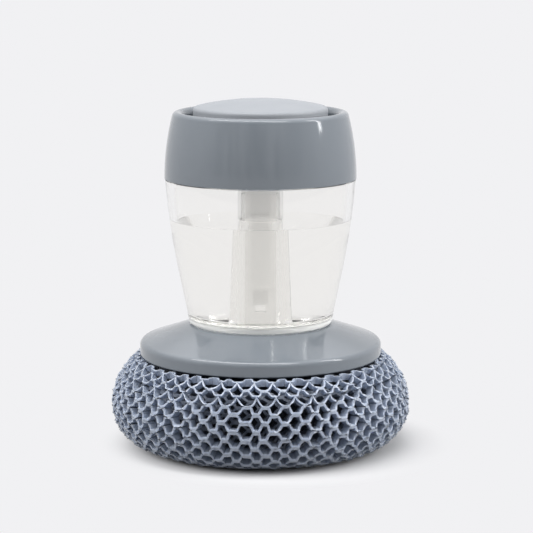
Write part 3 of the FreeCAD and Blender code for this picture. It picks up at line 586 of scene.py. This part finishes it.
# %% [markdown]
# One wave of a tape has a flat where it is welded to the tape below, a slope, a flat where it is welded to
# the tape above, and a slope back. High on the ball the net is stretched: there the tapes are thinner, every
# second one is drawn nearly straight and the others hang between the welds in round bows, which leaves drops
# and triangles in place of the even cells.

# %% One wave of a tape
CELLS_ROUND = 47
TAPE_THICKNESS = 0.78
STRETCHED_THICKNESS = 0.50
WELD_GAP = 0.60
STRETCHED_WELD_GAP = 0.38
SWING = 1.02
FLAT_SHARE = 0.14
STRETCHED = (
    {"swing": 0.80, "below": 0.15, "above": 0.12},
    {"swing": 1.42, "below": 0.0, "above": 0.0},
)
STRETCHED_TAPES = 4
HANG = 2.4
SLOPE_POINTS = 4


def wave(below, above, slope_points):
    """Points of one wave as (place in the wave, height from 1 below to -1 above).

    With no flats the tape hangs in round bows between sharp peaks.
    """
    if not below and not above:
        count = 2 * slope_points + 6
        places = [i / count - 0.5 for i in range(count)]
        return [(place, 1.0 - 2.0 * abs(2 * place) ** HANG) for place in places]
    run = 0.5 - above - below
    steps = [(i + 1) / (slope_points + 1) for i in range(slope_points)]
    ease = [math.cos(math.pi * t) for t in steps]
    points = [(-below, 1.0), (0.0, 1.0), (below, 1.0)]
    points += [(below + run * t, e) for t, e in zip(steps, ease)]
    points += [(0.5 - above, -1.0), (0.5, -1.0), (0.5 + above, -1.0)]
    points += [(0.5 + above + run * t, -e) for t, e in zip(steps, ease)]
    return points


def tape_shape(row):
    """Swing and flats of a tape, from the stretched shape to the even one."""
    if row < STRETCHED_TAPES:
        return STRETCHED[row % 2]
    return {"swing": SWING, "below": FLAT_SHARE, "above": FLAT_SHARE}


print("a wave has", len(wave(FLAT_SHARE, FLAT_SHARE, SLOPE_POINTS)), "points")

# %% [markdown]
# A slow unevenness runs through the whole net, because it is soft and was pulled on by hand. It is read from
# a smooth noise at each point's place, so welded neighbours move together and stay welded. The welds stand
# out a little as knuckles, most at the ball's widest part.

# %% Make one tape
KNUCKLE = 0.35
WAVES_ROUND, WAVES_ALONG, CHANNEL_STEP = 7.0, 0.16, 31.0
WANDER_ALONG, WANDER_ROUND, WANDER_DEPTH = 0.40, 0.20, 0.30


def unevenness(angle, along, channel):
    """A smooth noise at a place on the net, with a channel for each direction."""
    across = (WAVES_ROUND * math.cos(angle), WAVES_ROUND * math.sin(angle))
    return noise.noise(Vector((*across, along * WAVES_ALONG + CHANNEL_STEP * channel)))


def tape(name, row, along, depths, cells, shape, slope_points, thickness=TAPE_THICKNESS):
    """One wavy tape: a band primitive, laid on the net's outline between two depths, then thickened."""
    points = wave(shape["below"], shape["above"], slope_points)
    count = cells * len(points)
    bpy.ops.object.select_all(action="DESELECT")
    bpy.ops.mesh.primitive_cylinder_add(vertices=count, radius=1.0, depth=2.0, end_fill_type="NOTHING")
    band = bpy.context.active_object
    band.name = name
    pitch = 2 * math.pi / cells
    for vertex in band.data.vertices:
        number = round(math.atan2(vertex.co.y, vertex.co.x) / (2 * math.pi) * count) % count
        cell, step = divmod(number, len(points))
        place, height = points[step]
        angle = (cell + place + 0.5 * (row % 2)) * pitch
        run = along + shape["swing"] * height
        run += WANDER_ALONG * unevenness(angle, run, 0)
        turn = angle + WANDER_ROUND * pitch * unevenness(angle, run, 1)
        depth = depths[1]
        if vertex.co.z > 0:
            knuckle = KNUCKLE * (2 * abs(height) - 1) * max(math.sin(math.pi * run / LOWER_END), 0.0)
            depth = depths[0] + WANDER_DEPTH * (1.0 + unevenness(angle, run, 2)) - knuckle
        across, up = net_outline(max(run, 0.0), depth)
        vertex.co = (across * MM * math.cos(turn), across * MM * math.sin(turn), up * MM)
    wall = band.modifiers.new("thickness", "SOLIDIFY")
    wall.thickness = thickness * MM
    wall.offset = 0.0
    apply_modifiers(band)
    return band


def join(pieces, name):
    """Make one object of several."""
    take(pieces[0])
    for piece in pieces:
        piece.select_set(True)
    bpy.ops.object.join()
    joined = bpy.context.active_object
    joined.name = name
    joined.data.name = name
    return joined


print("knuckles stand out up to", KNUCKLE, "mm")

# %% [markdown]
# The tapes follow each other from the neck down to the gather, each half a cell further round than the last,
# so that its crests meet the troughs above. They could be copies of one tape, but the ball's girth changes
# all the way, so every tape is made at its own place. The step from one to the next is the swing of both and
# the gap that the weld fills.

# %% Outer tapes
OUTER_DEPTHS = (-0.1, 3.2)
STRETCHED_DEPTHS = (-0.1, 2.4)
FIRST_TAPE = 1.0
SAME_TAPE_POINT = 1e-7
NET_SMOOTH = math.radians(50)

outer_tapes = []
along = FIRST_TAPE
while along < GATHER_END - SWING:
    row = len(outer_tapes)
    shape = tape_shape(row)
    if row < STRETCHED_TAPES:
        depths, thickness, gap = STRETCHED_DEPTHS, STRETCHED_THICKNESS, STRETCHED_WELD_GAP
    else:
        depths, thickness, gap = OUTER_DEPTHS, TAPE_THICKNESS, WELD_GAP
    outer_tapes.append(tape(f"tape_{row}", row, along, depths, CELLS_ROUND, shape, SLOPE_POINTS, thickness))
    along += shape["swing"] + gap + tape_shape(row + 1)["swing"]
tape_count = len(outer_tapes)
net = join(outer_tapes, "scourer_net")
point_outwards(net, merge=SAME_TAPE_POINT)
bpy.ops.object.shade_smooth_by_angle(angle=NET_SMOOTH)
net.data.materials.append(net_plastic)
print("net:", tape_count, "tapes,", len(net.data.polygons), "faces")

# %% [markdown]
# Through the cells one sees the next fold of the net and, behind it, darkness. The fold is the same tapes
# again, fewer and deeper in, in a darker copy of the net's plastic that is painted shade. A dark closed form
# fills the middle: it is painted shade for the darkness inside the ball, not a piece of the scourer.

# %% Inner fold and core
FOLD_CELLS = 40
FOLD_DEPTHS = (4.6, 7.4)
FOLD_TAPES = 19
FOLD_SLOPE_POINTS = 1
FIRST_FOLD = 4.0

inner_tapes = []
for row in range(FOLD_TAPES):
    place = FIRST_FOLD + (2 * SWING + WELD_GAP) * row
    inner_tapes.append(
        tape(f"fold_{row}", row, place, FOLD_DEPTHS, FOLD_CELLS, tape_shape(FOLD_TAPES), FOLD_SLOPE_POINTS))
fold = join(inner_tapes, "scourer_fold")
point_outwards(fold, merge=SAME_TAPE_POINT)
bpy.ops.object.shade_smooth_by_angle(angle=NET_SMOOTH)
# The fold takes the darker copy of the net's plastic, which is painted shade.
fold.data.materials.append(net_painted_shade)

# The core is a dark closed form that stands in for the shade inside the ball, as painted shade.
CORE_DEPTH = 8.8
CORE_TOP, CORE_FOOT = 28.0, 9.0
CORE_POINTS, CORE_STEPS = 24, 72
core_runs = [NECK_RUN + (FOOT_END - NECK_RUN) * i / CORE_POINTS for i in range(CORE_POINTS + 1)]
core_side = [net_outline(run, CORE_DEPTH) for run in core_runs]
core = lathe("scourer_painted_dark_core", [(0.0, CORE_TOP), *core_side, (0.0, CORE_FOOT)], CORE_STEPS)
core.data.materials.append(net_painted_dark_core)

for piece in (net, fold, core):
    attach(piece, "brush_head")
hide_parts("scourer")
print("fold:", len(fold.data.polygons), "faces; core:", len(core.data.polygons), "faces")

# %% [markdown]
# A coil of wire lifts the button. A spring is wound on a rod, and the screw modifier winds it the same way:
# it carries the wire's round section about the upright axis and up. The solid of the frame keeps its length,
# and this coil takes its place at that same length, although a real spring gets shorter under the thumb.

# %% Return spring
SPRING_RADIUS, SPRING_WIRE = 7.7 * MM, 0.45 * MM
SPRING_TURNS = 5.5
STEPS_PER_TURN = 36
WIRE_SIDES = 12

spring_low, spring_high = (corner[2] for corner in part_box("return_spring"))
bpy.ops.object.select_all(action="DESELECT")
bpy.ops.mesh.primitive_circle_add(
    vertices=WIRE_SIDES, radius=SPRING_WIRE, location=(SPRING_RADIUS, 0, spring_low + SPRING_WIRE),
    rotation=(math.pi / 2, 0, 0))
spring = bpy.context.active_object
spring.name = "spring_coil"
bpy.ops.object.transform_apply(location=True, rotation=True, scale=True)
winding = spring.modifiers.new("winding", "SCREW")
winding.axis = "Z"
winding.angle = 2 * math.pi * SPRING_TURNS
winding.screw_offset = spring_high - spring_low - 2 * SPRING_WIRE
winding.steps = winding.render_steps = round(SPRING_TURNS * STEPS_PER_TURN)
apply_modifiers(spring)
bpy.ops.object.mode_set(mode="EDIT")
bpy.ops.mesh.select_all(action="SELECT")
bpy.ops.mesh.fill_holes(sides=0)
point_outwards(spring)
bpy.ops.object.shade_smooth_by_angle(angle=NET_SMOOTH)
spring.data.materials.append(spring_steel)
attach(spring, "cap")
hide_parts("return_spring")
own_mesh(spring)
print("spring:", len(spring.data.polygons), "faces,", round((spring_high - spring_low) / MM, 2), "mm long")

# %% [markdown]
# The tank is a little more than half full. The soap is turned as one closed ring round the column. It goes
# a hair into the plastic on every side, because two clear surfaces with air between them would mirror. Its
# top rises slightly where it meets the walls.

# %% Soap
SOAP_LEVEL = 72.8
SOAP_OVERLAP = 0.15
MENISCUS = 0.2
FLOOR_HEIGHT, WAIST_HEIGHT, SHOULDER_HEIGHT = 41.3, 55.3, 85.4
FLOOR_WALL, WAIST_WALL, SHOULDER_WALL = 21.1, 24.0, 27.0
WALL_BEND = 155.0
COLUMN_FOOT, COLUMN_TAPER, COLUMN_TOP_HEIGHT = 7.8, 1.0, 73.4
SOAP_STEPS = 128
LEVEL_NORMAL, TOP_SHARE = 0.6, 0.9


def tank_inside(height):
    """Radius of the tank's inner wall at a height, in mm."""
    if height < WAIST_HEIGHT:
        share = (height - FLOOR_HEIGHT) / (WAIST_HEIGHT - FLOOR_HEIGHT)
        return FLOOR_WALL + (WAIST_WALL - FLOOR_WALL) * share
    share = (height - WAIST_HEIGHT) / (SHOULDER_HEIGHT - WAIST_HEIGHT)
    chord = math.hypot(SHOULDER_WALL - WAIST_WALL, SHOULDER_HEIGHT - WAIST_HEIGHT)
    sag = chord ** 2 / (8 * WALL_BEND)
    return WAIST_WALL + (SHOULDER_WALL - WAIST_WALL) * share + 4 * sag * share * (1 - share)


def column_outside(height):
    """Radius of the column's outer wall at a height, in mm."""
    return COLUMN_FOOT - COLUMN_TAPER * (height - FLOOR_HEIGHT) / (COLUMN_TOP_HEIGHT - FLOOR_HEIGHT)


heights = [43.3, 47.0, 51.0, WAIST_HEIGHT, 59.0, 63.0, 67.0, 70.0, SOAP_LEVEL]
outer_wall = [(tank_inside(h) + SOAP_OVERLAP, h) for h in heights]
inner_wall = [(column_outside(h) - SOAP_OVERLAP, h) for h in reversed(heights)]
rim, bore = tank_inside(SOAP_LEVEL), column_outside(SOAP_LEVEL)
surface = [
    (rim + SOAP_OVERLAP, SOAP_LEVEL + MENISCUS),
    (rim - 0.4, SOAP_LEVEL + 0.3 * MENISCUS),
    (rim - 1.2, SOAP_LEVEL + 0.06 * MENISCUS),
    (rim - 3.0, SOAP_LEVEL),
    (bore + 2.2, SOAP_LEVEL),
    (bore + 1.0, SOAP_LEVEL + 0.08 * MENISCUS),
    (bore + 0.3, SOAP_LEVEL + 0.4 * MENISCUS),
    (bore - SOAP_OVERLAP, SOAP_LEVEL + 0.9 * MENISCUS),
]
soap_foot = FLOOR_HEIGHT - SOAP_OVERLAP
column_corner = [(8.0, 42.2), (8.3, 41.5), (8.85, soap_foot)]
wall_corner = [(19.2, soap_foot), (20.3, 41.5), (21.0, 42.1)]
section = outer_wall[:-1] + surface + inner_wall[1:] + column_corner + wall_corner
section.append(section[0])
soap = lathe("soap", section, SOAP_STEPS)
soap.data.materials.append(liquid_soap)
soap.data.materials.append(soap_surface)
for face in soap.data.polygons:
    level = face.normal.z > LEVEL_NORMAL and face.center.z > TOP_SHARE * SOAP_LEVEL * MM
    face.material_index = int(level)
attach(soap, "tank")
print("soap:", len(soap.data.polygons), "faces, level", SOAP_LEVEL, "mm")
